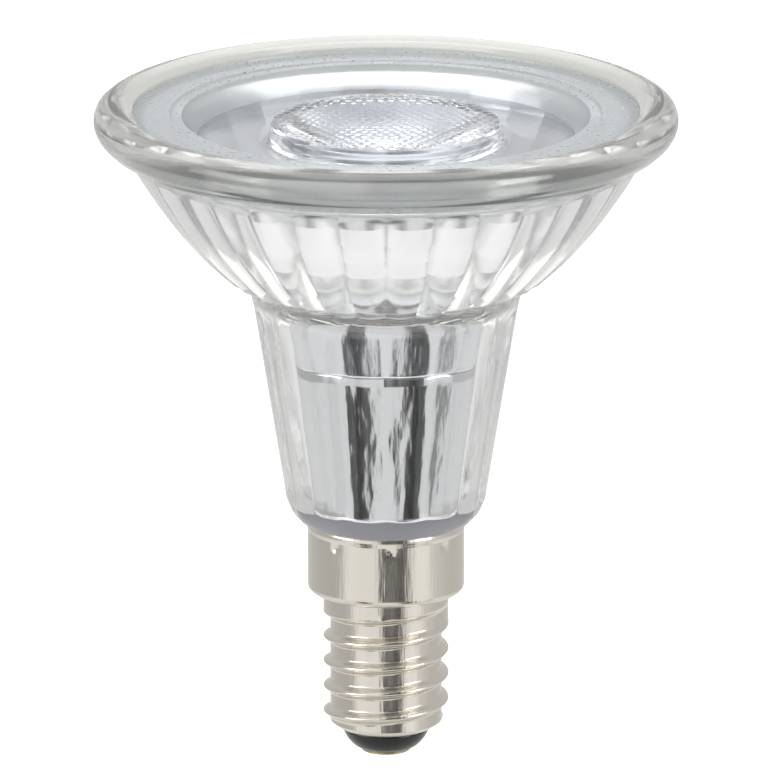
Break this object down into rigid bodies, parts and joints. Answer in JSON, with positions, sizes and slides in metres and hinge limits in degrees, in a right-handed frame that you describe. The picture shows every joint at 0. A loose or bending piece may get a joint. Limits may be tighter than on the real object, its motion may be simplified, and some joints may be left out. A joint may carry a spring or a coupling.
{
  "type": "led spotlight bulb",
  "caption": "Reflector lamp with a fluted flared glass body, ribbed neck, clear moulded lens with a honeycomb optic, and a nickel screw cap with a black insulator.",
  "frame": {"origin": "tip of the centre contact, on the lamp's axis, the lowest point of the cap", "axes": "+Z along the lamp's axis from the cap towards the lens, the way the light leaves; +X to the right and +Y away from the viewer in the picture"},
  "size_m": [0.0636, 0.0636, 0.0733],
  "materials": {
    "pressed_glass": "clear pressed soda-lime glass",
    "lens_plastic": "clear moulded acrylic",
    "bright_aluminium": "bright pressed sheet",
    "thermal_silicone": "soft bonding pad",
    "light_board": "white solder resist on aluminium",
    "package_white": "white moulding",
    "phosphor": "yellow phosphor in silicone",
    "sleeve_plastic": "vacuum-metallised moulded plastic",
    "circuit_board": "glass-epoxy laminate",
    "capacitor_can": "dark sleeved can",
    "capacitor_film": "dipped block",
    "ferrite": "sintered",
    "copper_wire": "enamelled copper",
    "chip_plastic": "black moulding",
    "resistor_body": "coated",
    "lead_red": "insulated wire",
    "lead_black": "insulated wire",
    "nickel": "nickel-plated brass",
    "black_glass": "black cap glass",
    "contact_brass": "stamped",
    "solder": "dull tin solder"
  },
  "bodies": {
    "root": {"reflector_glass": "pressed_glass", "front_lens": "lens_plastic", "reflector_bowl": "bright_aluminium", "heat_sink": "bright_aluminium", "thermal_pad": "thermal_silicone", "led_board": "light_board", "led_package": "package_white", "led_phosphor": "phosphor", "driver_sleeve": "sleeve_plastic", "driver_board": "circuit_board", "bulk_capacitor": "capacitor_can", "film_capacitor": "capacitor_film", "choke_core": "ferrite", "choke_winding": "copper_wire", "bridge_rectifier": "chip_plastic", "driver_chip": "chip_plastic", "fuse_resistor": "resistor_body", "led_lead_plus": "lead_red", "led_lead_minus": "lead_black", "centre_lead": "lead_red", "shell_lead": "lead_black", "screw_shell": "nickel", "cap_insulator": "black_glass", "centre_contact": "contact_brass", "contact_solder": "solder"}
  },
  "joints": []
}
